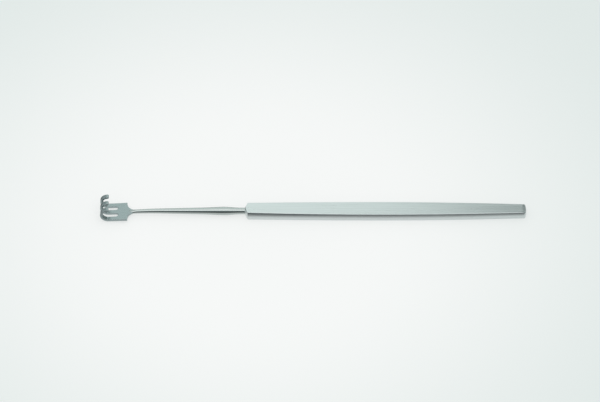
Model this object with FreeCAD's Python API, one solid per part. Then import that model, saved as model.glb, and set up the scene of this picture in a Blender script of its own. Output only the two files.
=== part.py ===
import FreeCAD, Part
import math
import os

from FreeCAD import Vector

# Three-prong hand rake retractor, one piece of steel, in millimetres.
# It lies on the flat underside of its handle: +X runs to the butt end, the rake is at -X
# and +Z is up. While it is built, X is measured from the shoulder, where neck meets handle.

# Handle, a flat-faced bar with bowed sides that swells to a belly and narrows to the butt
handle_length = 109.05
shoulder_width = 5.45
belly_width = 6.55
belly_from_shoulder = 52.0
butt_width = 4.2
shoulder_thickness = 3.8
belly_thickness = 3.46
butt_thickness = 3.38
side_bow = 0.45
edge_round = 0.22

# Butt end, bowed in plan with round corners, and nosed from face to face
butt_end_bow = 0.25
butt_corner_radius = 1.4
butt_nose = 1.0

# Shoulder, turned as a blunt cone about the neck's axis
shoulder_slope = 62.0
shoulder_root_round = 0.25

# Neck, a turned bar: it swells just before the shoulder, then tapers slender to the rake
neck_length = 45.6
neck_root_diameter = 2.5
neck_root_run = 2.4
neck_swell_diameter = 3.34
neck_swell_from_shoulder = 7.7
neck_waist_diameter = 2.66
neck_waist_from_shoulder = 15.5
neck_slender_diameter = 1.54
neck_corner_run = 2.2
neck_seat = 1.5

# Set of the rake: the slender end of the neck is bent down a little
set_angle = 3.0
set_start = 32.5
set_length = 7.7
set_steps = 3

# Rake plate, flat, with hollow shoulders that run into the neck
plate_back_width = 8.82
plate_front_width = 8.61
plate_thickness = 1.0
plate_length = 7.19
hollow_end_width = 1.1
back_land = 0.56
runout_length = 3.2
runout_width = 2.2
runout_overlap = 1.0
runout_sink = 0.04

# Tines, parted by round-ended slots and bent up and back into hooks with blunt tips
tine_count = 3
tine_width = 1.67
tine_tip_thickness = 0.86
tine_tip_corner = 0.42
slot_root_from_back = 3.55
hook_height = 6.2
hook_lower_radius = 3.15
hook_front_run = 0.1
hook_tip_run = 0.5
outer_edge_round = 0.18
inner_edge_break = 0.12

# Working values that follow from the sizes above
neck_axis_height = shoulder_thickness / 2
belly_side = belly_width / 2 + side_bow
half_plate = plate_thickness / 2
hook_top = hook_height - half_plate
hook_upper_radius = hook_height - hook_lower_radius - hook_front_run
hook_front = -plate_length - hook_lower_radius
tip_start = hook_front + hook_upper_radius
tip_end = tip_start + hook_tip_run
tine_pitch = (plate_front_width - tine_width) / (tine_count - 1)
slot_width = tine_pitch - tine_width
clear = max(plate_back_width, belly_width)
touch = 0.01


def line(a, b):
    return Part.LineSegment(a, b).toShape()


def arc(a, b, c):
    return Part.Arc(a, b, c).toShape()


def upright_prism(edges, height):
    """A prism that stands on a closed, level outline."""
    outline = Part.Wire(Part.sortEdges(edges)[0])
    return Part.Face(outline).extrude(Vector(0, 0, height))


def ramp(along, reach, at_start, at_end):
    """A flat arc that is level at its start: its height some way along its reach."""
    return at_start + (at_end - at_start) * (along / reach) ** 2


def thickness(x):
    """The handle's thickness at x, least at the belly's own value between its two ends."""
    if x < belly_from_shoulder:
        return ramp(belly_from_shoulder - x, belly_from_shoulder, belly_thickness,
                    shoulder_thickness)
    return ramp(x - belly_from_shoulder, handle_length - belly_from_shoulder, belly_thickness,
                butt_thickness)


def belly_section(side):
    """The bar's section at the belly, too tall, and bowed on one side but too wide on the other."""
    half = belly_thickness / 2
    side_radius = (half ** 2 + side_bow ** 2) / (2 * side_bow)
    tall = half + side_bow
    reach = belly_side - side_radius + math.sqrt(side_radius ** 2 - tall ** 2)
    x = belly_from_shoulder
    inner = -side * clear
    low = half - tall
    high = half + tall
    return Part.Face(Part.Wire([
        line(Vector(x, inner, low), Vector(x, side * reach, low)),
        arc(Vector(x, side * reach, low), Vector(x, side * belly_side, half),
            Vector(x, side * reach, high)),
        line(Vector(x, side * reach, high), Vector(x, inner, high)),
        line(Vector(x, inner, high), Vector(x, inner, low)),
    ]))


def bowed_run(side, end_x, end_width):
    """Room inside one bowed side, from the belly past one end, turned about its arc's centre."""
    reach = abs(end_x - belly_from_shoulder)
    drop = (belly_width - end_width) / 2
    plan_radius = (reach ** 2 + drop ** 2) / (2 * drop)
    centre = Vector(belly_from_shoulder, side * (belly_side - plan_radius), 0)
    turn = math.degrees(math.asin((reach + side_bow) / plan_radius))
    way = side if end_x < belly_from_shoulder else -side
    return belly_section(side).revolve(centre, Vector(0, 0, way), turn)


def bowed_bar():
    """The whole bar, a little over length at both ends."""
    neck_end = bowed_run(1, 0, shoulder_width).common(bowed_run(-1, 0, shoulder_width))
    butt_end = bowed_run(1, handle_length, butt_width)
    butt_end = butt_end.common(bowed_run(-1, handle_length, butt_width))
    return neck_end.fuse(butt_end)


def faces_prism():
    """Room between the handle's faces: flat underneath, slightly hollow on top."""
    start = -clear
    end = handle_length + clear
    outline = Part.Wire([
        line(Vector(end, -clear, 0), Vector(start, -clear, 0)),
        line(Vector(start, -clear, 0), Vector(start, -clear, thickness(start))),
        arc(Vector(start, -clear, thickness(start)),
            Vector(belly_from_shoulder, -clear, belly_thickness),
            Vector(end, -clear, thickness(end))),
        line(Vector(end, -clear, thickness(end)), Vector(end, -clear, 0)),
    ])
    return Part.Face(outline).extrude(Vector(0, 2 * clear, 0))


def nose_prism():
    """Room for the butt end's nose, seen from the side."""
    half = butt_thickness / 2
    nose_radius = (half ** 2 + butt_nose ** 2) / (2 * butt_nose)
    tall = (half + nose_radius) / 2
    turn = handle_length - nose_radius + math.sqrt(nose_radius ** 2 - tall ** 2)
    low = half - tall
    high = half + tall
    outline = Part.Wire([
        line(Vector(-clear, -clear, low), Vector(turn, -clear, low)),
        arc(Vector(turn, -clear, low), Vector(handle_length, -clear, half),
            Vector(turn, -clear, high)),
        line(Vector(turn, -clear, high), Vector(-clear, -clear, high + clear)),
        line(Vector(-clear, -clear, high + clear), Vector(-clear, -clear, low)),
    ])
    return Part.Face(outline).extrude(Vector(0, 2 * clear, 0))


def butt_prism():
    """Room for the butt end's outline, seen from above, flaring clear of the bar behind it."""
    side = butt_width / 2 + side_bow + edge_round
    end = handle_length - butt_end_bow
    turn = end - butt_corner_radius
    inner = side - butt_corner_radius
    mid = butt_corner_radius * math.sqrt(0.5)
    return upright_prism([
        line(Vector(-clear, -clear, -clear), Vector(turn, -side, -clear)),
        arc(Vector(turn, -side, -clear), Vector(turn + mid, -inner - mid, -clear),
            Vector(end, -inner, -clear)),
        arc(Vector(end, -inner, -clear), Vector(handle_length, 0, -clear),
            Vector(end, inner, -clear)),
        arc(Vector(end, inner, -clear), Vector(turn + mid, inner + mid, -clear),
            Vector(turn, side, -clear)),
        line(Vector(turn, side, -clear), Vector(-clear, clear, -clear)),
        line(Vector(-clear, clear, -clear), Vector(-clear, -clear, -clear)),
    ], 3 * clear)


def shoulder_cone():
    """Room for the handle inside the blunt cone that passes through the neck's root."""
    steepness = math.tan(math.radians(shoulder_slope))
    root = neck_root_diameter / 2
    tip = -root / (2 * steepness)
    reach = handle_length + clear
    cone = Part.makeCone(root / 2, root / 2 + reach * steepness, reach,
                         Vector(tip, 0, neck_axis_height), Vector(1, 0, 0))
    cone.rotate(Vector(0, 0, neck_axis_height), Vector(1, 0, 0), 180)
    return cone


def is_long_edge(edge):
    """True for an edge that runs along the bar, on one side of its middle line."""
    box = edge.BoundBox
    return box.XLength > 2 * clear and box.YMin * box.YMax > 0


def handle():
    bar = bowed_bar().common(faces_prism())
    bar = bar.makeFillet(edge_round, [e for e in bar.Edges if is_long_edge(e)])
    return bar.common(nose_prism()).common(butt_prism()).common(shoulder_cone())


def blended_line(points, run):
    """A line through points, with an arc at each corner that starts and ends a run away."""
    edges = []
    here = points[0]
    for before, corner, after in zip(points, points[1:], points[2:]):
        back = (before - corner).normalize()
        ahead = (after - corner).normalize()
        inward = (back + ahead).normalize()
        half_angle = back.getAngle(inward)
        depth = run / math.cos(half_angle) - run * math.tan(half_angle)
        start = corner + back * run
        end = corner + ahead * run
        edges.append(line(here, start))
        edges.append(arc(start, corner + inward * depth, end))
        here = end
    return edges + [line(here, points[-1])]


def set_radius(distance):
    """The neck's radius on the straight taper from its waist to its slender end."""
    waist = neck_waist_diameter / 2
    slender = neck_slender_diameter / 2
    taper = neck_length - runout_length - neck_waist_from_shoulder
    return waist + (slender - waist) * (distance - neck_waist_from_shoulder) / taper


def turned_neck():
    """The neck from its seat in the handle to where its set starts, turned in one go."""
    root = neck_root_diameter / 2
    profile = [
        (-neck_seat, root),
        (neck_root_run, root),
        (neck_swell_from_shoulder, neck_swell_diameter / 2),
        (neck_waist_from_shoulder, neck_waist_diameter / 2),
        (set_start, set_radius(set_start)),
    ]
    points = [Vector(-distance, 0, radius) for distance, radius in profile]
    seat_end = Vector(neck_seat, 0, 0)
    set_end = Vector(-set_start, 0, 0)
    edges = blended_line(points, neck_corner_run)
    edges += [line(points[-1], set_end), line(set_end, seat_end), line(seat_end, points[0])]
    turned = Part.Face(Part.Wire(edges)).revolve(Vector(0, 0, 0), Vector(1, 0, 0), 360)
    turned.translate(Vector(0, 0, neck_axis_height))
    return turned


def on_axis(distance):
    """Place and downward slope of the neck's axis at a distance from the shoulder."""
    angle = math.radians(set_angle)
    bend_radius = set_length / angle
    turn = min(max((distance - set_start) / bend_radius, 0), angle)
    straight = min(distance, set_start)
    past = max(distance - set_start - set_length, 0)
    x = -straight - bend_radius * math.sin(turn) - past * math.cos(angle)
    z = neck_axis_height - bend_radius * (1 - math.cos(turn)) - past * math.sin(angle)
    return Vector(x, 0, z), math.degrees(turn)


def place_on_axis(shape, distance):
    """Moves a shape from its own frame to the neck's axis, square to it."""
    place, slope = on_axis(distance)
    shape.rotate(Vector(0, 0, 0), Vector(0, 1, 0), -slope)
    shape.translate(place)
    return shape


def neck_ring(distance, half_width, half_height):
    """A round or oval ring square to the neck's axis."""
    stretch = FreeCAD.Matrix()
    stretch.A22 = half_width
    stretch.A33 = half_height
    ring = Part.makeCircle(1, Vector(0, 0, 0), Vector(1, 0, 0)).transformGeometry(stretch)
    return Part.Wire([place_on_axis(ring, distance)])


def set_neck():
    """The slender end of the neck, bent down, then flattened where it runs out on the plate."""
    flat = half_plate - runout_sink
    round_end = neck_length - runout_length
    rings = []
    for i in range(set_steps + 1):
        distance = set_start + (round_end - set_start) * i / set_steps
        rings.append(neck_ring(distance, set_radius(distance), set_radius(distance)))
    rings.append(neck_ring(neck_length, runout_width / 2, flat))
    rings.append(neck_ring(neck_length + runout_overlap, runout_width / 2, flat))
    return Part.makeLoft(rings, True, False)


def quarter(start, centre, end):
    """A quarter of a circle about a centre, from one point to another."""
    out = (start + end) / 2 - centre
    return arc(start, centre + out.normalize() * start.distanceToPoint(centre), end)


def side_prism(edges):
    """A prism wider than the rake, that stands out from an outline seen from the side."""
    prism = Part.Face(Part.Wire(edges)).extrude(Vector(0, 2 * clear, 0))
    prism.translate(Vector(0, -clear, 0))
    return prism


def hook_hull():
    """Plate and hook from the side, filled in and run on backwards, X from the plate's back."""
    low = Vector(-plate_length, 0, hook_lower_radius - half_plate)
    high = Vector(tip_start, 0, hook_top - hook_upper_radius)
    front_low = Vector(hook_front, 0, low.z)
    front_high = Vector(hook_front, 0, high.z)
    plate_front = Vector(-plate_length, 0, -half_plate)
    plate_back = Vector(clear, 0, -half_plate)
    bend_end = Vector(tip_start, 0, hook_top)
    back_top = Vector(clear, 0, hook_top)
    return side_prism([
        line(plate_back, plate_front),
        quarter(plate_front, low, front_low),
        line(front_low, front_high),
        quarter(front_high, high, bend_end),
        line(bend_end, back_top),
        line(back_top, plate_back),
    ])


def hook_throat():
    """The open room over the plate and inside the hooks, seen from the side."""
    front = hook_front + plate_thickness
    top = hook_top - tine_tip_thickness
    low = Vector(-plate_length, 0, hook_lower_radius - half_plate)
    high = Vector(tip_start, 0, top - (tip_start - front))
    front_low = Vector(front, 0, low.z)
    front_high = Vector(front, 0, high.z)
    plate_front = Vector(-plate_length, 0, half_plate)
    plate_back = Vector(2 * clear, 0, half_plate)
    bend_end = Vector(tip_start, 0, top)
    back_top = Vector(2 * clear, 0, top)
    return side_prism([
        line(plate_back, plate_front),
        quarter(plate_front, low, front_low),
        line(front_low, front_high),
        quarter(front_high, high, bend_end),
        line(bend_end, back_top),
        line(back_top, plate_back),
    ])


def rake_side(side):
    """One side of the rake seen from above, from the tips to its hollow beside the neck."""
    back = plate_back_width / 2
    front = plate_front_width / 2
    near_neck = hollow_end_width / 2
    hollow = back - back_land - near_neck
    mid = hollow * (1 - math.sqrt(0.5))
    swept = front + (back - front) / 4

    def at(x, y):
        return Vector(x, side * y, -plate_thickness)

    edges = [
        line(at(hook_front, front), at(-plate_length, front)),
        arc(at(-plate_length, front), at(-plate_length / 2, swept), at(0, back)),
        line(at(0, back), at(0, back - back_land)),
        arc(at(0, back - back_land), at(mid, near_neck + mid), at(hollow, near_neck)),
    ]
    return edges, at(hook_front, front), at(hollow, near_neck)


def rake_blank(height):
    """Room for the rake seen from above, its back corners hollowed into the neck."""
    left, left_tip, left_neck = rake_side(1)
    right, right_tip, right_neck = rake_side(-1)
    ends = [line(left_tip, right_tip), line(left_neck, right_neck)]
    return upright_prism(left + right + ends, height)


def slot(y, height):
    """A gap between two tines, open at the front and round at its root."""
    front = hook_front - plate_thickness
    half = slot_width / 2
    root = -slot_root_from_back
    z = -plate_thickness
    return upright_prism([
        line(Vector(front, y - half, z), Vector(root - half, y - half, z)),
        arc(Vector(root - half, y - half, z), Vector(root, y, z), Vector(root - half, y + half, z)),
        line(Vector(root - half, y + half, z), Vector(front, y + half, z)),
        line(Vector(front, y + half, z), Vector(front, y - half, z)),
    ], height)


def tip_gap(y, height):
    """The gap beside a tip, above the plate, flaring to round the corners of the tips."""
    narrow = slot_width / 2
    wide = narrow + tine_tip_corner
    mid = tine_tip_corner * (1 - math.sqrt(0.5))
    turn = tip_end - tine_tip_corner
    past = tip_end + tine_tip_corner

    def at(x, across):
        return Vector(x, y + across, hook_top - hook_upper_radius)

    return upright_prism([
        line(at(turn, -narrow), at(turn, narrow)),
        arc(at(turn, narrow), at(tip_end - mid, narrow + mid), at(tip_end, wide)),
        line(at(tip_end, wide), at(past, wide)),
        line(at(past, wide), at(past, -wide)),
        line(at(past, -wide), at(tip_end, -wide)),
        arc(at(tip_end, -wide), at(tip_end - mid, -narrow - mid), at(turn, -narrow)),
    ], height)


def beyond_tips(height):
    """The room above the plate behind the tips' ends."""
    corner = Vector(tip_end, -clear, hook_top - hook_upper_radius)
    return Part.makeBox(2 * clear, 2 * clear, height, corner)


def edges_on(shape, tool):
    """The edges of the plate and tines that lie on a tool's surface, not those of the hollows."""
    found = []
    for edge in shape.Edges:
        middle = edge.valueAt((edge.FirstParameter + edge.LastParameter) / 2)
        near = tool.Shells[0].distToShape(Part.Vertex(middle))[0] < touch
        if near and edge.BoundBox.XMax < touch:
            found.append(edge)
    return found


def rake():
    """The slotted plate and its hooks, rounded on the outer side and broken on the inner one."""
    hull = hook_hull()
    throat = hook_throat()
    height = hook_height + 2 * plate_thickness
    tines = hull.cut([throat, beyond_tips(height)]).common(rake_blank(height))
    for i in range(tine_count - 1):
        tines = tines.cut(slot((i - (tine_count - 2) / 2) * tine_pitch, height))
    for i in range(tine_count + 1):
        tines = tines.cut(tip_gap((i - tine_count / 2) * tine_pitch, height))
    tines = tines.makeFillet(outer_edge_round, edges_on(tines, hull))
    tines = tines.makeChamfer(inner_edge_break, edges_on(tines, throat))
    return place_on_axis(tines, neck_length)


def root_circle(shape):
    """The ring where the neck meets the shoulder's cone."""
    found = []
    for edge in shape.Edges:
        box = edge.BoundBox
        at_root = abs(box.XMin) < shoulder_root_round and abs(box.XMax) < shoulder_root_round
        if at_root and box.ZLength > neck_root_diameter / 2:
            found.append(edge)
    return found


def retractor():
    """Handle, neck and rake in one piece, lying with the middle of its box over the origin."""
    whole = handle().fuse([turned_neck(), set_neck(), rake()])
    whole = whole.makeFillet(shoulder_root_round, root_circle(whole))
    box = whole.optimalBoundingBox()
    whole.translate(Vector(-(box.XMin + box.XMax) / 2, 0, 0))
    return whole


os.makedirs("parts", exist_ok=True)
body = retractor()
print("valid", body.isValid(), "solids", len(body.Solids), "volume", round(body.Volume, 2))
print("box", body.optimalBoundingBox())
body.exportStep("parts/rake_retractor.step")
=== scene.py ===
import math

import bmesh
import bpy
from bpy.props import FloatProperty, FloatVectorProperty, IntProperty, PointerProperty
from bpy.types import Operator, Panel, PropertyGroup
from mathutils import Matrix, Vector


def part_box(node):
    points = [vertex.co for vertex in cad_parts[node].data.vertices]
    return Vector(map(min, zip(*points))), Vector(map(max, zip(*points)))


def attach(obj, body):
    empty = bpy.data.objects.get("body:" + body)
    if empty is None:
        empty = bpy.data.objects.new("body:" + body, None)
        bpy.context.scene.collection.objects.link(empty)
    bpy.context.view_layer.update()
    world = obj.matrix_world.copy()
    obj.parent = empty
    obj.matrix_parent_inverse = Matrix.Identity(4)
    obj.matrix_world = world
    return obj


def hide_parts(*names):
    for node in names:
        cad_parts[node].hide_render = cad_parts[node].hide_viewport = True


bl_info = {
    "name": "Hand rake retractor",
    "version": (1, 0, 0),
    "blender": (4, 5, 0),
    "location": "View3D > Sidebar > Retractor",
    "description": "Builds a three-prong hand rake retractor in stainless steel, on a pale table",
    "category": "Object",
}

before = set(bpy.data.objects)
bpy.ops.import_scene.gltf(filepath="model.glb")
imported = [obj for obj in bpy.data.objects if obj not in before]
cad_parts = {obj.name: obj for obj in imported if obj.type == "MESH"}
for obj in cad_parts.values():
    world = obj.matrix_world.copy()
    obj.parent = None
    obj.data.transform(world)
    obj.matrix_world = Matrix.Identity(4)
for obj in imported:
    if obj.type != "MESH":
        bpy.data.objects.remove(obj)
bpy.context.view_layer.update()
NODE = "rake_retractor"
MM = 0.001
LOW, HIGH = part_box(NODE)
CREASE = math.radians(25)
SPARE = 5 * MM  # how far a cutting tool's open side runs past the part
WIDE = 10 * MM  # how far a cutting tool reaches to each side of the part
TABLE_REACH = 4.0
WORLD_LEVEL = 0.86
AIM = Vector((-5.15, 5.28, 1.9)) * MM  # what the camera looks at
# Each card's name, where its foot starts and ends, its low and high edge, and its colour.
CARDS = (
    ("front_flag", (-0.36, -0.6), (0.36, -0.6), 0.0, 0.16, "#40484a"),
    ("front_card", (-0.36, -0.6), (0.36, -0.6), 0.16, 0.95, "#7e8586"),
    ("back_card", (-0.22, 0.45), (0.088, 0.45), 0.02, 0.9, "#f4fdfa"),
    ("left_card", (-1.0, -0.1), (-0.22, 0.45), 0.02, 0.9, "#b4bcbb"),
    ("right_flag", (0.088, 0.45), (0.26, 0.45), 0.02, 0.9, "#5c6866"),
    ("right_card", (0.26, 0.45), (0.9, -0.4), 0.02, 0.9, "#98a2a0"),
)


def linear(hex_colour):
    """An sRGB hex colour as linear red, green and blue."""
    parts = [int(hex_colour[i:i + 2], 16) / 255 for i in (1, 3, 5)]
    return [c / 12.92 if c <= 0.04045 else ((c + 0.055) / 1.055) ** 2.4 for c in parts]


def size(name, millimetres, description):
    """A length that a user can change."""
    return FloatProperty(name=name, description=description, default=millimetres * MM,
                         min=0.00001, soft_max=0.2, unit="LENGTH", precision=5)


def tint(name, hex_colour, description):
    """A colour that a user can change."""
    return FloatVectorProperty(name=name, description=description, subtype="COLOR",
                               min=0.0, max=1.0, default=linear(hex_colour))


class HandleSizes(PropertyGroup):
    """Flat-faced bar with bowed sides that swells to a belly and narrows to the butt."""

    length: size("Length", 109.05, "From the shoulder to the butt end")
    shoulder_width: size("Shoulder width", 5.45, "Width of the faces at the shoulder")
    belly_width: size("Belly width", 6.55, "Width of the faces at the belly")
    belly_place: size("Belly place", 52.0, "From the shoulder to the belly")
    butt_width: size("Butt width", 4.2, "Width of the faces at the butt end")
    shoulder_thickness: size("Shoulder thickness", 3.8, "From face to face at the shoulder")
    belly_thickness: size("Belly thickness", 3.46, "From face to face at the belly")
    butt_thickness: size("Butt thickness", 3.38, "From face to face at the butt end")
    side_bow: size("Side bow", 0.45, "How far each side bows out")
    edge_round: size("Edge round", 0.22, "Radius of the four long edges")
    end_bow: size("End bow", 0.25, "How far the butt end bows out")
    corner_radius: size("Corner radius", 1.4, "Radius of the butt's corners from above")
    nose: size("Nose", 1.0, "How far the butt end rounds from face to face")
    shoulder_slope: FloatProperty(
        name="Shoulder slope", description="Slope of the turned shoulder to the neck's axis",
        subtype="ANGLE", min=0.2, max=1.5, default=math.radians(62))
    colour: tint("Colour", "#dde4e4", "Satin steel of the handle")
    brush_spacing: size("Brush mark spacing", 0.45, "From one brush mark to the next")
    brush_length: size("Brush mark length", 35.0, "Length of a mark along the handle")


class NeckSizes(PropertyGroup):
    """Turned neck that swells near the shoulder and tapers slender to the rake."""

    length: size("Length", 45.6, "From the shoulder to the rake plate")
    root: size("Root diameter", 2.5, "Diameter at the shoulder")
    root_run: size("Root run", 2.4, "Length of the even root")
    swell: size("Swell diameter", 3.34, "Largest diameter")
    swell_place: size("Swell place", 7.7, "From the shoulder to the swell")
    waist: size("Waist diameter", 2.66, "Diameter where the long taper starts")
    waist_place: size("Waist place", 15.5, "From the shoulder to the waist")
    slender: size("Slender diameter", 1.54, "Diameter at the slender end")
    seat: size("Seat", 1.5, "How far the neck runs into the handle")
    set_place: size("Set place", 32.5, "From the shoulder to where the neck bends down")
    set_length: size("Set length", 7.7, "Length of the bend")
    set_angle: FloatProperty(
        name="Set angle", description="How far the slender end is bent down",
        subtype="ANGLE", min=0.0, max=0.5, default=math.radians(3))
    runout: size("Run-out", 3.2, "Length of the flattened end")
    runout_width: size("Run-out width", 2.2, "Width of the flattened end on the plate")
    overlap: size("Overlap", 1.0, "How far the flattened end lies on the plate")
    sink: size("Sink", 0.04, "How far the flattened end lies inside each face of the plate")
    colour: tint("Colour", "#bcc4c2", "Polished steel of the neck")
    ring_spacing: size("Polishing ring spacing", 0.6, "From one polishing mark to the next")


class RakeSizes(PropertyGroup):
    """Slotted plate whose three tines are bent up and back into hooks."""

    back_width: size("Back width", 8.82, "Width at the plate's back corners")
    front_width: size("Front width", 8.61, "Width over the three tines")
    thickness: size("Thickness", 1.0, "Thickness of the plate")
    length: size("Length", 7.19, "From the back corners to where the bend starts")
    land: size("Back land", 0.56, "Straight part of each back edge")
    end_width: size("End width", 1.1, "Width where the plate meets the neck")
    tines: IntProperty(name="Tines", description="Number of tines", min=2, max=8, default=3)
    tine_width: size("Tine width", 1.67, "Width of one tine")
    tip_thickness: size("Tip thickness", 0.86, "Thickness of a tine at its tip")
    tip_corner: size("Tip corner", 0.42, "Radius of a tip's corners")
    slot_root: size("Slot root", 3.55, "From the back corners to the slots' round roots")
    hook_height: size("Hook height", 6.2, "From the plate's underside to the hook's top")
    lower_radius: size("Lower radius", 3.15, "Outer radius of the first bend")
    front_run: size("Front run", 0.1, "Upright run between the two bends")
    tip_run: size("Tip run", 0.5, "Straight run at the tip")
    outer_round: size("Outer round", 0.18, "Radius of the outer edges")
    inner_break: size("Inner break", 0.12, "Width of the broken inner edges")
    colour: tint("Colour", "#a6b3b4", "Ground steel of the plate and tines")
    grit: size("Grit", 0.5, "Size of the grinding marks")


class StageSettings(PropertyGroup):
    """The table, the light and the camera."""

    # Painted pool of light: the table is painted paler near the instrument and greyer away from
    # it.
    painted_lit_colour: tint("Table colour", "#f8faf9", "Pale table near the instrument")
    painted_dim_colour: tint("Table edge colour", "#e3ebe9", "Pale table away from the instrument")
    # A painted pool of light in the table's glow, which only the steel's reflections show.
    pool: size("Pool", 4.0, "How far from the pool's middle the steel mirrors the palest table")
    painted_pool_place: size("Pool place", 1.2, "From the instrument's axis to the pool's middle")
    camera_height: FloatProperty(
        name="Camera height", description="Angle of the camera above the table",
        subtype="ANGLE", min=0.0, max=math.pi / 2, default=math.radians(47))
    camera_distance: FloatProperty(
        name="Camera distance", description="From the camera to the instrument",
        unit="LENGTH", min=0.5, max=10.0, default=2.5)
    lens: FloatProperty(
        name="Lens", description="Focal length of the camera",
        subtype="DISTANCE_CAMERA", min=50.0, max=800.0, default=386.5)


def add(tree, kind, values=None, links=None, **settings):
    """Adds a node with its settings, its sockets' values and what is linked into it."""
    node = tree.nodes.new(kind)
    for key, value in settings.items():
        setattr(node, key, value)
    for socket, value in (values or {}).items():
        node.inputs[socket].default_value = value
    for socket, source in (links or {}).items():
        tree.links.new(source, node.inputs[socket])
    return node


def new_material(name):
    """An empty node material and its output node."""
    material = bpy.data.materials.new(name)
    material.use_nodes = True
    material.node_tree.nodes.clear()
    output = add(material.node_tree, "ShaderNodeOutputMaterial")
    return material, material.node_tree, output


def add_steel(tree, output, colour, rough, relief):
    """The metal shader that the three finishes share."""
    steel = add(tree, "ShaderNodeBsdfPrincipled", {"Metallic": 1.0},
                {"Base Color": colour, "Roughness": rough, "Normal": relief})
    tree.links.new(steel.outputs[0], output.inputs["Surface"])
    return steel


def spread(tree, value, low, high):
    """Turns a noise value round one half into a range."""
    return add(tree, "ShaderNodeMapRange",
               {"From Min": 0.3, "From Max": 0.7, "To Min": low, "To Max": high},
               {"Value": value}).outputs[0]


def brushed_satin(sizes):
    """Stainless bar, belt-brushed along its length: pale and soft, with fine long streaks."""
    material, tree, output = new_material("brushed_satin_stainless")
    place = add(tree, "ShaderNodeTexCoord")
    marks = add(tree, "ShaderNodeMapping", links={"Vector": place.outputs["Object"]})
    # Real brush marks are under 0.1 mm apart. They are drawn coarser, so that they show.
    across = 1 / sizes.brush_spacing
    marks.inputs["Scale"].default_value = (1 / sizes.brush_length, across, across)
    streaks = add(tree, "ShaderNodeTexNoise",
                  {"Scale": 1.0, "Detail": 3.0, "Roughness": 0.6}, {"Vector": marks.outputs[0]})
    shade = add(tree, "ShaderNodeVectorMath", {0: sizes.colour[:]}, operation="SCALE")
    tree.links.new(spread(tree, streaks.outputs[0], 0.93, 1.05), shade.inputs["Scale"])
    relief = add(tree, "ShaderNodeBump", {"Strength": 0.35, "Distance": 3e-6},
                 {"Height": streaks.outputs[0]})
    steel = add_steel(tree, output, shade.outputs[0], spread(tree, streaks.outputs[0], 0.26, 0.34),
                      relief.outputs[0])
    # Marks along the bar spread its reflections across it.
    lay = add(tree, "ShaderNodeTangent", direction_type="RADIAL", axis="X")
    steel.inputs["Anisotropic"].default_value = 0.3
    tree.links.new(lay.outputs[0], steel.inputs["Tangent"])
    return material


def polished(sizes, rake):
    """Turned neck, polished in the lathe: mirror-bright, but ground dull next to the plate."""
    material, tree, output = new_material("polished_stainless")
    place = add(tree, "ShaderNodeTexCoord")
    marks = add(tree, "ShaderNodeMapping", links={"Vector": place.outputs["Object"]})
    along = 1 / sizes.ring_spacing
    marks.inputs["Scale"].default_value = (along, 0.1 * along, 0.1 * along)
    rings = add(tree, "ShaderNodeTexNoise",
                {"Scale": 1.0, "Detail": 2.0, "Roughness": 0.5}, {"Vector": marks.outputs[0]})
    plate = shoulder_x() - sizes.length
    x = add(tree, "ShaderNodeSeparateXYZ", links={0: place.outputs["Object"]})
    dull = add(tree, "ShaderNodeMapRange",
               {"From Min": plate + 0.7 * sizes.runout, "From Max": plate},
               {"Value": x.outputs["X"]}, interpolation_type="SMOOTHSTEP")
    colour = add(tree, "ShaderNodeMix", {6: (*sizes.colour, 1.0), 7: (*rake.colour, 1.0)},
                 {0: dull.outputs[0]}, data_type="RGBA")
    rough = add(tree, "ShaderNodeMix", {3: 0.29},
                {0: dull.outputs[0], 2: spread(tree, rings.outputs[0], 0.09, 0.14)})
    relief = add(tree, "ShaderNodeBump", {"Strength": 0.1, "Distance": 1e-6},
                 {"Height": rings.outputs[0]})
    add_steel(tree, output, colour.outputs[2], rough.outputs[0], relief.outputs[0])
    return material


def ground(sizes):
    """Plate and tines, ground and finished by hand: darker, and even all round the hooks."""
    material, tree, output = new_material("ground_stainless")
    place = add(tree, "ShaderNodeTexCoord")
    marks = add(tree, "ShaderNodeTexNoise",
                {"Scale": 1 / sizes.grit, "Detail": 3.0, "Roughness": 0.6},
                {"Vector": place.outputs["Object"]})
    shade = add(tree, "ShaderNodeVectorMath", {0: sizes.colour[:]}, operation="SCALE")
    tree.links.new(spread(tree, marks.outputs[0], 0.97, 1.03), shade.inputs["Scale"])
    relief = add(tree, "ShaderNodeBump", {"Strength": 0.1, "Distance": 1e-6},
                 {"Height": marks.outputs[0]})
    add_steel(tree, output, shade.outputs[0], spread(tree, marks.outputs[0], 0.25, 0.33),
              relief.outputs[0])
    return material


def shoulder_x():
    """Where the handle meets the neck, in the row frame."""
    return HIGH.x - bpy.context.scene.retractor_handle.length


def arc_points(centre, radius, start, end, steps):
    """Points on an arc, from one angle to another, ends included."""
    angles = [start + (end - start) * i / steps for i in range(steps + 1)]
    return [(centre[0] + radius * math.cos(a), centre[1] + radius * math.sin(a)) for a in angles]


def prism(outline, low, high, upright):
    """A closed prism on an outline: upright on a plan, or across the bar on a side view."""
    rings = []
    for level in (low, high):
        rings += [(a, b, level) if upright else (a, level, b) for a, b in outline]
    count = len(outline)
    faces = [tuple(range(count)), tuple(range(2 * count - 1, count - 1, -1))]
    for i in range(count):
        after = (i + 1) % count
        faces.append((i, after, count + after, count + i))
    mesh = bpy.data.meshes.new("tool")
    mesh.from_pydata(rings, [], faces)
    return face_outwards(mesh)


def face_outwards(mesh):
    """Merges doubles and turns every face outwards."""
    shell = bmesh.new()
    shell.from_mesh(mesh)
    bmesh.ops.remove_doubles(shell, verts=shell.verts, dist=1e-8)
    bmesh.ops.recalc_face_normals(shell, faces=shell.faces)
    shell.to_mesh(mesh)
    shell.free()
    return mesh


def put(name, mesh):
    """Links a mesh into the scene as an object at the origin."""
    thing = bpy.data.objects.new(name, mesh)
    bpy.context.scene.collection.objects.link(thing)
    return thing


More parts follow.
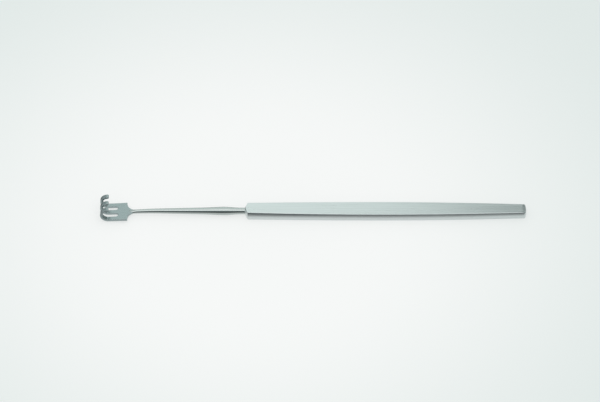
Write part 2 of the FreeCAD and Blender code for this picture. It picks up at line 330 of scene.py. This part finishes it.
def plain_mesh(thing, name):
    """What a thing's modifiers make of it, as a new mesh."""
    scene_now = bpy.context.evaluated_depsgraph_get()
    mesh = bpy.data.meshes.new_from_object(thing.evaluated_get(scene_now))
    mesh.name = name
    bpy.data.objects.remove(thing)
    return mesh


def trimmed(mesh, tools):
    """What a mesh has in common with every tool."""
    work = put("work", mesh)
    holders = []
    for tool in tools:
        holders.append(put("tool", tool))
        cut = work.modifiers.new("trim", "BOOLEAN")
        cut.operation = "INTERSECT"
        cut.solver = "EXACT"
        cut.object = holders[-1]
    result = plain_mesh(work, mesh.name)
    for holder in holders:
        bpy.data.objects.remove(holder)
    return result


def finish_piece(name, mesh, material):
    """Shades a mesh smooth between its creases and sets it up as a piece of the instrument."""
    shell = bmesh.new()
    shell.from_mesh(mesh)
    bmesh.ops.triangulate(shell, faces=[f for f in shell.faces if len(f.verts) > 4])
    for edge in shell.edges:
        gentle = len(edge.link_faces) == 2 and edge.calc_face_angle() < CREASE
        edge.smooth = edge.smooth and gentle
    for face in shell.faces:
        face.smooth = True
    shell.to_mesh(mesh)
    shell.free()
    mesh.materials.clear()
    mesh.materials.append(material)
    piece = put(name, mesh)
    normals = piece.modifiers.new("Even shading", "WEIGHTED_NORMAL")
    normals.keep_sharp = True
    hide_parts(NODE)
    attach(piece, "root")
    return piece


def handle_ring(sizes, distance):
    """One ring round the bar: flat faces, rounded long edges and bowed sides."""
    past_belly = distance > sizes.belly_place
    reach = sizes.length - sizes.belly_place if past_belly else sizes.belly_place
    share = ((distance - sizes.belly_place) / reach) ** 2
    end_width = sizes.butt_width if past_belly else sizes.shoulder_width
    end_thickness = sizes.butt_thickness if past_belly else sizes.shoulder_thickness
    half_width = (sizes.belly_width + (end_width - sizes.belly_width) * share) / 2
    top = sizes.belly_thickness + (end_thickness - sizes.belly_thickness) * share
    middle = sizes.belly_thickness / 2
    bow_radius = (middle ** 2 + sizes.side_bow ** 2) / (2 * sizes.side_bow)
    bow_centre = half_width + sizes.side_bow - bow_radius
    corner = sizes.edge_round
    upper = math.asin((top - corner - middle) / (bow_radius - corner))
    lower = math.asin((corner - middle) / (bow_radius - corner))
    right = []
    for tilt, start, end in ((upper, math.pi / 2, upper), (lower, lower, -math.pi / 2)):
        centre = (bow_centre + (bow_radius - corner) * math.cos(tilt),
                  middle + (bow_radius - corner) * math.sin(tilt))
        right.append(arc_points(centre, corner, start, end, 5))
    side = arc_points((bow_centre, middle), bow_radius, upper, lower, 10)
    outline = right[0] + side[1:-1] + right[1]
    outline += [(-y, z) for y, z in reversed(outline)]
    return [(distance, y, z) for y, z in outline]


def bar_mesh(sizes):
    """The whole bar, a little over length at both ends."""
    stations = 60
    over = 2 * MM
    rings = [handle_ring(sizes, -over + (sizes.length + 2 * over) * i / stations)
             for i in range(stations + 1)]
    count = len(rings[0])
    last = stations * count
    faces = [tuple(range(count)), tuple(range(last + count - 1, last - 1, -1))]
    for i in range(stations):
        for j in range(count):
            after = (j + 1) % count
            here, there = i * count, (i + 1) * count
            faces.append((here + j, there + j, there + after, here + after))
    mesh = bpy.data.meshes.new("handle")
    mesh.from_pydata([point for ring in rings for point in ring], [], faces)
    return face_outwards(mesh)


def nose_tool(sizes):
    """Room for the butt's nose, seen from the side: half an oval that runs out into the faces."""
    half = sizes.butt_thickness / 2
    reach = 1.5 * sizes.nose
    past_faces = 0.02 * MM
    oval = arc_points((0, 0), 1, -math.pi / 2, math.pi / 2, 32)
    nose = [(sizes.length - reach + reach * x, half + (half + past_faces) * z) for x, z in oval]
    outline = [(-SPARE, -SPARE), (nose[0][0], -SPARE), *nose, (nose[-1][0], 2 * half + SPARE),
               (-SPARE, 2 * half + SPARE)]
    return prism(outline, -WIDE, WIDE, False)


def butt_tool(sizes):
    """Room for the butt's outline, seen from above."""
    corner = sizes.corner_radius
    side = sizes.butt_width / 2 + sizes.side_bow + sizes.edge_round
    end = sizes.length - sizes.end_bow
    inner = side - corner
    bow_radius = (inner ** 2 + sizes.end_bow ** 2) / (2 * sizes.end_bow)
    bow = math.asin(inner / bow_radius)
    outline = [(-SPARE, -WIDE)]
    outline += arc_points((end - corner, -inner), corner, -math.pi / 2, 0, 12)
    outline += arc_points((sizes.length - bow_radius, 0), bow_radius, -bow, bow, 12)[1:-1]
    outline += arc_points((end - corner, inner), corner, 0, math.pi / 2, 12)
    outline.append((-SPARE, WIDE))
    return prism(outline, -WIDE, WIDE, True)


def shoulder_tool(sizes, neck):
    """Room inside the blunt cone that passes through the neck's root."""
    steepness = math.tan(sizes.shoulder_slope)
    reach = sizes.length + WIDE
    shell = bmesh.new()
    bmesh.ops.create_cone(shell, cap_ends=True, segments=160, radius1=neck.root / 4,
                          radius2=neck.root / 4 + reach * steepness, depth=reach)
    along = Matrix.Rotation(math.pi / 2, 4, "Y")
    tip = -neck.root / 4 / steepness
    place = Matrix.Translation((tip + reach / 2, 0, sizes.shoulder_thickness / 2))
    bmesh.ops.transform(shell, matrix=place @ along, verts=shell.verts)
    mesh = bpy.data.meshes.new("tool")
    shell.to_mesh(mesh)
    shell.free()
    return mesh


class RETRACTOR_OT_handle(Operator):
    """Builds the handle bar with its turned shoulder and rounded butt end"""

    bl_idname = "retractor.handle"
    bl_label = "Handle"

    def execute(self, context):
        sizes = context.scene.retractor_handle
        tools = [nose_tool(sizes), butt_tool(sizes),
                 shoulder_tool(sizes, context.scene.retractor_neck)]
        mesh = trimmed(bar_mesh(sizes), tools)
        mesh.transform(Matrix.Translation((shoulder_x(), 0, 0)))
        finish_piece("handle", mesh, brushed_satin(sizes))
        return {"FINISHED"}


NECK_INPUTS = ("length", "root", "root_run", "swell", "swell_place", "waist", "waist_place",
               "slender", "seat", "set_place", "set_length", "set_angle", "runout",
               "runout_width", "overlap")


def neck_tree():
    """Turns the neck: a tube whose radius and height follow its distance from the shoulder."""
    tree = bpy.data.node_groups.new("turned_neck", "GeometryNodeTree")
    tree.interface.new_socket("Geometry", in_out="OUTPUT", socket_type="NodeSocketGeometry")
    for name in (*NECK_INPUTS, "flat_height", "material"):
        kind = "NodeSocketMaterial" if name == "material" else "NodeSocketFloat"
        tree.interface.new_socket(name, in_out="INPUT", socket_type=kind)
    given = add(tree, "NodeGroupInput").outputs

    def maths(operation, a, b=None):
        values = {i: v for i, v in enumerate((a, b)) if isinstance(v, (int, float))}
        links = {i: v for i, v in enumerate((a, b))
                 if v is not None and not isinstance(v, (int, float))}
        return add(tree, "ShaderNodeMath", values, links, operation=operation).outputs[0]

    def ease(value, start, end, at_start, at_end):
        return add(tree, "ShaderNodeMapRange", None,
                   {"Value": value, "From Min": start, "From Max": end,
                    "To Min": at_start, "To Max": at_end}).outputs[0]

    first = add(tree, "ShaderNodeCombineXYZ", None, {0: maths("MULTIPLY", given["seat"], -1)})
    last = add(tree, "ShaderNodeCombineXYZ", None,
               {0: maths("ADD", given["length"], given["overlap"])})
    axis = add(tree, "GeometryNodeCurvePrimitiveLine", None,
               {"Start": first.outputs[0], "End": last.outputs[0]})
    fine = add(tree, "GeometryNodeResampleCurve", {"Count": 193}, {"Curve": axis.outputs[0]})
    ring = add(tree, "GeometryNodeCurvePrimitiveCircle", {"Resolution": 48, "Radius": 1.0})
    tube = add(tree, "GeometryNodeCurveToMesh", {"Fill Caps": True},
               {"Curve": fine.outputs[0], "Profile Curve": ring.outputs[0]})
    place = add(tree, "ShaderNodeSeparateXYZ", None,
                {0: add(tree, "GeometryNodeInputPosition").outputs[0]})
    distance = place.outputs["X"]
    round_end = maths("SUBTRACT", given["length"], given["runout"])
    width = ease(distance, given["root_run"], given["swell_place"], given["root"], given["swell"])
    width = ease(distance, given["swell_place"], given["waist_place"], width, given["waist"])
    width = ease(distance, given["waist_place"], round_end, width, given["slender"])
    blended = add(tree, "GeometryNodeBlurAttribute", {"Iterations": 60}, {"Value": width},
                  data_type="FLOAT").outputs[0]
    across = ease(distance, round_end, given["length"], blended, given["runout_width"])
    tall = ease(distance, round_end, given["length"], blended, given["flat_height"])
    past = maths("MAXIMUM", maths("SUBTRACT", distance, given["set_place"]), 0.0)
    bent = maths("MINIMUM", past, given["set_length"])
    straight = maths("MULTIPLY", maths("SUBTRACT", past, bent), given["set_angle"])
    sagging = maths("DIVIDE", maths("MULTIPLY", maths("MULTIPLY", bent, bent), given["set_angle"]),
                    maths("MULTIPLY", given["set_length"], 2.0))
    drop = maths("ADD", straight, sagging)
    y = maths("MULTIPLY", place.outputs["Y"], maths("MULTIPLY", across, 0.5))
    z = maths("MULTIPLY", place.outputs["Z"], maths("MULTIPLY", tall, 0.5))
    new_place = add(tree, "ShaderNodeCombineXYZ", None,
                    {0: distance, 1: y, 2: maths("SUBTRACT", z, drop)})
    shaped = add(tree, "GeometryNodeSetPosition", None,
                 {"Geometry": tube.outputs[0], "Position": new_place.outputs[0]})
    real = add(tree, "GeometryNodeRealizeInstances", None, {0: shaped.outputs[0]})
    dressed = add(tree, "GeometryNodeSetMaterial", None,
                  {"Geometry": real.outputs[0], "Material": given["material"]})
    add(tree, "NodeGroupOutput", None, {0: dressed.outputs[0]})
    return tree


class RETRACTOR_OT_neck(Operator):
    """Turns the neck and flattens its slender end onto the rake plate"""

    bl_idname = "retractor.neck"
    bl_label = "Neck"

    def execute(self, context):
        sizes = context.scene.retractor_neck
        rake = context.scene.retractor_rake
        material = polished(sizes, rake)
        values = {name: getattr(sizes, name) for name in NECK_INPUTS}
        values["flat_height"] = rake.thickness - 2 * sizes.sink
        values["material"] = material
        work = put("work", bpy.data.meshes.new("work"))
        lathe = work.modifiers.new("lathe", "NODES")
        lathe.node_group = neck_tree()
        for socket in lathe.node_group.interface.items_tree:
            if socket.in_out == "INPUT":
                lathe[socket.identifier] = values[socket.name]
        mesh = plain_mesh(work, "neck")
        axis_height = context.scene.retractor_handle.shoulder_thickness / 2
        mesh.transform(Matrix.Translation((shoulder_x(), 0, axis_height))
                       @ Matrix.Rotation(math.pi, 4, "Z"))
        finish_piece("neck", face_outwards(mesh), material)
        return {"FINISHED"}


def blank_outline(sizes, tine_length):
    """The flat blank from above, before its tines are bent: X back to front is falling."""
    back, front, near = sizes.back_width / 2, sizes.front_width / 2, sizes.end_width / 2
    hollow = back - sizes.land - near
    pitch = (sizes.front_width - sizes.tine_width) / (sizes.tines - 1)
    slot = (pitch - sizes.tine_width) / 2
    tip = -sizes.length - tine_length
    corner = sizes.tip_corner
    right = [(x, -y) for x, y in arc_points((hollow, near + hollow), hollow, -math.pi / 2,
                                            -math.pi, 18)]
    right.append((0, -back))
    outline = [(hollow, near)] + [(hollow, -near)] + right[1:]
    steps = 8
    for i in range(1, steps):
        share = i / steps
        outline.append((-sizes.length * share, -(back + (front - back) * (1 - (1 - share) ** 2))))
    for tine in range(sizes.tines):
        low = -front + tine * pitch
        high = low + sizes.tine_width
        outline.append((-sizes.length, low))
        outline += arc_points((tip + corner, low + corner), corner, -math.pi / 2, -math.pi, 6)
        outline += arc_points((tip + corner, high - corner), corner, math.pi, math.pi / 2, 6)
        outline.append((-sizes.length, high))
        if tine < sizes.tines - 1:
            outline += arc_points((-sizes.slot_root - slot, high + slot), slot, -math.pi / 2,
                                  math.pi / 2, 16)
    for x, y in reversed(outline[2:outline.index((-sizes.length, -front))]):
        outline.append((x, -y))
    return outline


def bend_point(sizes, point):
    """Moves a point of the flat blank to its place on the hooks."""
    upper_radius = sizes.hook_height - sizes.lower_radius - sizes.front_run
    run = -point.x - sizes.length
    if run <= 0:
        return point
    low_arc = sizes.lower_radius * math.pi / 2
    high_arc = upper_radius * math.pi / 2
    depth = point.z
    front = -sizes.length - sizes.lower_radius
    high_centre = Vector((front + upper_radius, 0, sizes.lower_radius + sizes.front_run))
    if run < low_arc:
        turn = run / sizes.lower_radius
        radius = sizes.lower_radius - depth
        return Vector((-sizes.length - radius * math.sin(turn), point.y,
                       sizes.lower_radius - radius * math.cos(turn)))
    run -= low_arc
    if run < sizes.front_run:
        return Vector((front + depth, point.y, sizes.lower_radius + run))
    run -= sizes.front_run
    taper = sizes.tip_thickness / sizes.thickness - 1
    depth *= 1 + taper * min(run / high_arc, 1)
    if run < high_arc:
        turn = run / upper_radius
        radius = upper_radius - depth
        return high_centre + Vector((-radius * math.cos(turn), point.y, radius * math.sin(turn)))
    run -= high_arc
    return high_centre + Vector((run, point.y, upper_radius - depth))


def rake_mesh(sizes):
    """A flat blank with slots, its edges softened, with its tines bent over into hooks."""
    upper_radius = sizes.hook_height - sizes.lower_radius - sizes.front_run
    bends = (sizes.lower_radius + upper_radius) * math.pi / 2 + sizes.front_run
    tine_length = bends + sizes.tip_run
    shell = bmesh.new()
    loop = [shell.verts.new((x, y, 0)) for x, y in blank_outline(sizes, tine_length)]
    underside = shell.faces.new(loop)
    made = bmesh.ops.extrude_face_region(shell, geom=[underside])["geom"]
    top = [v for v in made if isinstance(v, bmesh.types.BMVert)]
    bmesh.ops.translate(shell, vec=(0, 0, sizes.thickness), verts=top)
    bmesh.ops.recalc_face_normals(shell, faces=shell.faces)
    softened = ((0, sizes.outer_round, 3), (sizes.thickness, sizes.inner_break, 2))
    for height, width, steps in softened:
        rim = [e for e in shell.edges
               if all(abs(v.co.z - height) < 1e-7 for v in e.verts)
               and any(abs(f.normal.z) < 0.5 and f.normal.x < 0.9 for f in e.link_faces)]
        bmesh.ops.bevel(shell, geom=rim, offset=width, segments=steps, profile=0.5,
                        affect="EDGES", clamp_overlap=False)
    shell.normal_update()
    for edge in shell.edges:
        level = [abs(face.normal.z) > 0.999 for face in edge.link_faces]
        edge.smooth = all(level) or not any(level)
    cuts = 90
    for i in range(cuts + 1):
        x = -sizes.length - tine_length * i / cuts
        bmesh.ops.bisect_plane(shell, geom=[*shell.verts, *shell.edges, *shell.faces],
                               plane_co=(x, 0, 0), plane_no=(1, 0, 0), dist=1e-7)
    for vertex in shell.verts:
        vertex.co = bend_point(sizes, vertex.co)
    bmesh.ops.translate(shell, vec=(0, 0, -sizes.thickness / 2), verts=shell.verts)
    mesh = bpy.data.meshes.new("rake")
    shell.to_mesh(mesh)
    shell.free()
    return mesh


class RETRACTOR_OT_rake(Operator):
    """Cuts the slotted plate and bends its tines into hooks"""

    bl_idname = "retractor.rake"
    bl_label = "Rake"

    def execute(self, context):
        sizes = context.scene.retractor_rake
        neck = context.scene.retractor_neck
        past = neck.length - neck.set_place - neck.set_length
        bend_radius = neck.set_length / neck.set_angle
        sine, cosine = math.sin(neck.set_angle), math.cos(neck.set_angle)
        x = neck.set_place + bend_radius * sine + past * cosine
        z = bend_radius * (1 - cosine) + past * sine
        axis_height = context.scene.retractor_handle.shoulder_thickness / 2
        mesh = rake_mesh(sizes)
        mesh.transform(Matrix.Translation((shoulder_x() - x, 0, axis_height - z))
                       @ Matrix.Rotation(-neck.set_angle, 4, "Y"))
        finish_piece("rake", mesh, ground(sizes))
        return {"FINISHED"}


def panel(name, corners, material):
    """A flat panel of the stage through four corners."""
    mesh = bpy.data.meshes.new(name)
    mesh.from_pydata(corners, [], [(0, 1, 2, 3)])
    mesh.materials.append(material)
    thing = put(name, mesh)
    return thing


def matt_table(settings):
    """Matt white light table with a painted pool of light: pale round the instrument, a little
    greyer towards the edges.
    """
    material, tree, output = new_material("matt_white_table")
    place = add(tree, "ShaderNodeTexCoord")
    # The painted pool of light on the table is centred 24 mm to the left of the origin and 6 mm
    # towards the front.
    middle = add(tree, "ShaderNodeVectorMath", {1: (24 * MM, 6 * MM, 0)},
                 {0: place.outputs["Object"]}, operation="ADD")
    distance = add(tree, "ShaderNodeVectorMath", None, {0: middle.outputs[0]},
                   operation="LENGTH")
    painted_light_falloff = add(tree, "ShaderNodeMapRange", {"From Min": 40 * MM, "From Max": 180 * MM},
                     {"Value": distance.outputs["Value"]}, interpolation_type="SMOOTHSTEP")
    colour = add(tree, "ShaderNodeMix",
                 {6: (*settings.painted_lit_colour, 1.0), 7: (*settings.painted_dim_colour, 1.0)},
                 {0: painted_light_falloff.outputs[0]}, data_type="RGBA")
    surface = add(tree, "ShaderNodeBsdfPrincipled",
                  {"Roughness": 0.7, "Specular IOR Level": 0.2}, {"Base Color": colour.outputs[2]})
    # The camera sees the table at its own colour, with its painted pool of light. For the steel's
    # reflections the table glows with a second painted pool of light close to the instrument's
    # near side, and darker table further off: a painted reflection. The pattern is fixed on the
    # table.
    path = add(tree, "ShaderNodeLightPath")
    side = add(tree, "ShaderNodeSeparateXYZ", links={0: place.outputs["Object"]})
    off = add(tree, "ShaderNodeMath", {1: settings.painted_pool_place}, {0: side.outputs["Y"]},
              operation="ADD")
    off_painted_pool = add(tree, "ShaderNodeMath", None, {0: off.outputs[0]}, operation="ABSOLUTE")
    reach = add(tree, "ShaderNodeMath", {1: settings.pool}, {0: off_painted_pool.outputs[0]},
                operation="MAXIMUM")
    pool = add(tree, "ShaderNodeMath", {0: settings.pool}, {1: reach.outputs[0]},
               operation="DIVIDE")
    painted_reflection_fade = add(tree, "ShaderNodeMapRange", {"To Min": 0.08, "To Max": 0.86},
               {"Value": pool.outputs[0]})
    level = add(tree, "ShaderNodeMix", {2: 1.0},
                {0: path.outputs["Is Glossy Ray"], 3: painted_reflection_fade.outputs[0]})
    glow = add(tree, "ShaderNodeEmission", None,
               {"Color": colour.outputs[2], "Strength": level.outputs[0]})
    seen = add(tree, "ShaderNodeMath", {1: 0.65}, {0: path.outputs["Is Camera Ray"]},
               operation="MULTIPLY")
    mirrored = add(tree, "ShaderNodeMath", {1: 0.9}, {0: path.outputs["Is Glossy Ray"]},
                   operation="MULTIPLY")
    share = add(tree, "ShaderNodeMath", None, {0: seen.outputs[0], 1: mirrored.outputs[0]},
                operation="MAXIMUM")
    mix = add(tree, "ShaderNodeMixShader", None,
              {0: share.outputs[0], 1: surface.outputs[0], 2: glow.outputs[0]})
    tree.links.new(mix.outputs[0], output.inputs["Surface"])
    return material


def card(name, start, end, low, high, hex_colour):
    """An upright card that only the steel's reflections show: it neither lights nor shades."""
    material, tree, output = new_material(name)
    glow = add(tree, "ShaderNodeEmission", {"Color": (*linear(hex_colour), 1.0)})
    tree.links.new(glow.outputs[0], output.inputs["Surface"])
    corners = [(*start, low), (*end, low), (*end, high), (*start, high)]
    thing = panel(name, corners, material)
    thing.visible_camera = False
    thing.visible_diffuse = False
    thing.visible_shadow = False
    return thing


def softbox(name, position, width, depth, radiance):
    """An even rectangular light aimed at the instrument: its power follows its radiance."""
    data = bpy.data.lights.new(name, "AREA")
    data.shape = "RECTANGLE"
    data.size = width
    data.size_y = depth
    data.energy = radiance * math.pi * width * depth
    lamp = put(name, data)
    lamp.location = position
    lamp.rotation_euler = (-Vector(position)).to_track_quat("-Z", "Y").to_euler()
    return lamp


def studio_world(strength):
    """Even white light, at full white where the camera and the steel see it."""
    world = bpy.data.worlds.new("studio")
    bpy.context.scene.world = world
    world.use_nodes = True
    tree = world.node_tree
    tree.nodes.clear()
    path = add(tree, "ShaderNodeLightPath")
    seen = add(tree, "ShaderNodeMath", None, {0: path.outputs["Is Camera Ray"],
                                              1: path.outputs["Is Glossy Ray"]}, operation="ADD")
    clear = add(tree, "ShaderNodeMath", None, {0: seen.outputs[0],
                                               1: path.outputs["Is Transmission Ray"]},
                operation="ADD", use_clamp=True)
    level = add(tree, "ShaderNodeMapRange", {"To Min": strength, "To Max": 1.0},
                {"Value": clear.outputs[0]})
    sky = add(tree, "ShaderNodeBackground", {"Color": (1.0, 1.0, 1.0, 1.0)},
              {"Strength": level.outputs[0]})
    output = add(tree, "ShaderNodeOutputWorld")
    tree.links.new(sky.outputs[0], output.inputs["Surface"])


def aim_camera(settings):
    """A long lens that looks down on the handle's near side."""
    data = bpy.data.cameras.new("camera")
    data.sensor_width = 36.0
    data.lens = settings.lens
    data.clip_end = 20.0
    camera = put("camera", data)
    height = settings.camera_height
    away = Vector((0.0, -math.cos(height), math.sin(height)))
    camera.location = AIM + away * settings.camera_distance
    camera.rotation_euler = (-away).to_track_quat("-Z", "Y").to_euler()
    bpy.context.scene.camera = camera


class RETRACTOR_OT_stage(Operator):
    """Sets the table, the soft light, the reflection cards and the camera"""

    bl_idname = "retractor.stage"
    bl_label = "Stage"

    def execute(self, context):
        settings = context.scene.retractor_stage
        reach = TABLE_REACH
        panel("table", [(-reach, -reach, 0), (reach, -reach, 0), (reach, reach, 0),
                        (-reach, reach, 0)], matt_table(settings))
        studio_world(WORLD_LEVEL)
        softbox("overhead_softbox", (0.0, -0.3, 0.85), 1.2, 0.45, 0.6)
        for upright in CARDS:
            card(*upright)
        aim_camera(settings)
        context.scene.view_settings.view_transform = "Standard"
        return {"FINISHED"}


class RETRACTOR_PT_panel(Panel):
    """Lists the sizes and the steps that build the scene"""

    bl_label = "Retractor"
    bl_idname = "RETRACTOR_PT_panel"
    bl_space_type = "VIEW_3D"
    bl_region_type = "UI"
    bl_category = "Retractor"

    def draw(self, context):
        for group in GROUPS:
            settings = getattr(context.scene, group)
            for name in settings.__annotations__:
                self.layout.prop(settings, name)
        for step in STEPS:
            self.layout.operator(step.bl_idname)


STEPS = (RETRACTOR_OT_handle, RETRACTOR_OT_neck, RETRACTOR_OT_rake, RETRACTOR_OT_stage)
GROUPS = {
    "retractor_handle": HandleSizes,
    "retractor_neck": NeckSizes,
    "retractor_rake": RakeSizes,
    "retractor_stage": StageSettings,
}


def register():
    for kind in (*GROUPS.values(), *STEPS, RETRACTOR_PT_panel):
        bpy.utils.register_class(kind)
    for name, group in GROUPS.items():
        setattr(bpy.types.Scene, name, PointerProperty(type=group))


def unregister():
    for name in GROUPS:
        delattr(bpy.types.Scene, name)
    for kind in reversed((*GROUPS.values(), *STEPS, RETRACTOR_PT_panel)):
        bpy.utils.unregister_class(kind)


def main():
    register()
    bpy.ops.retractor.handle()
    bpy.ops.retractor.neck()
    bpy.ops.retractor.rake()
    bpy.ops.retractor.stage()


if __name__ == "__main__":
    main()
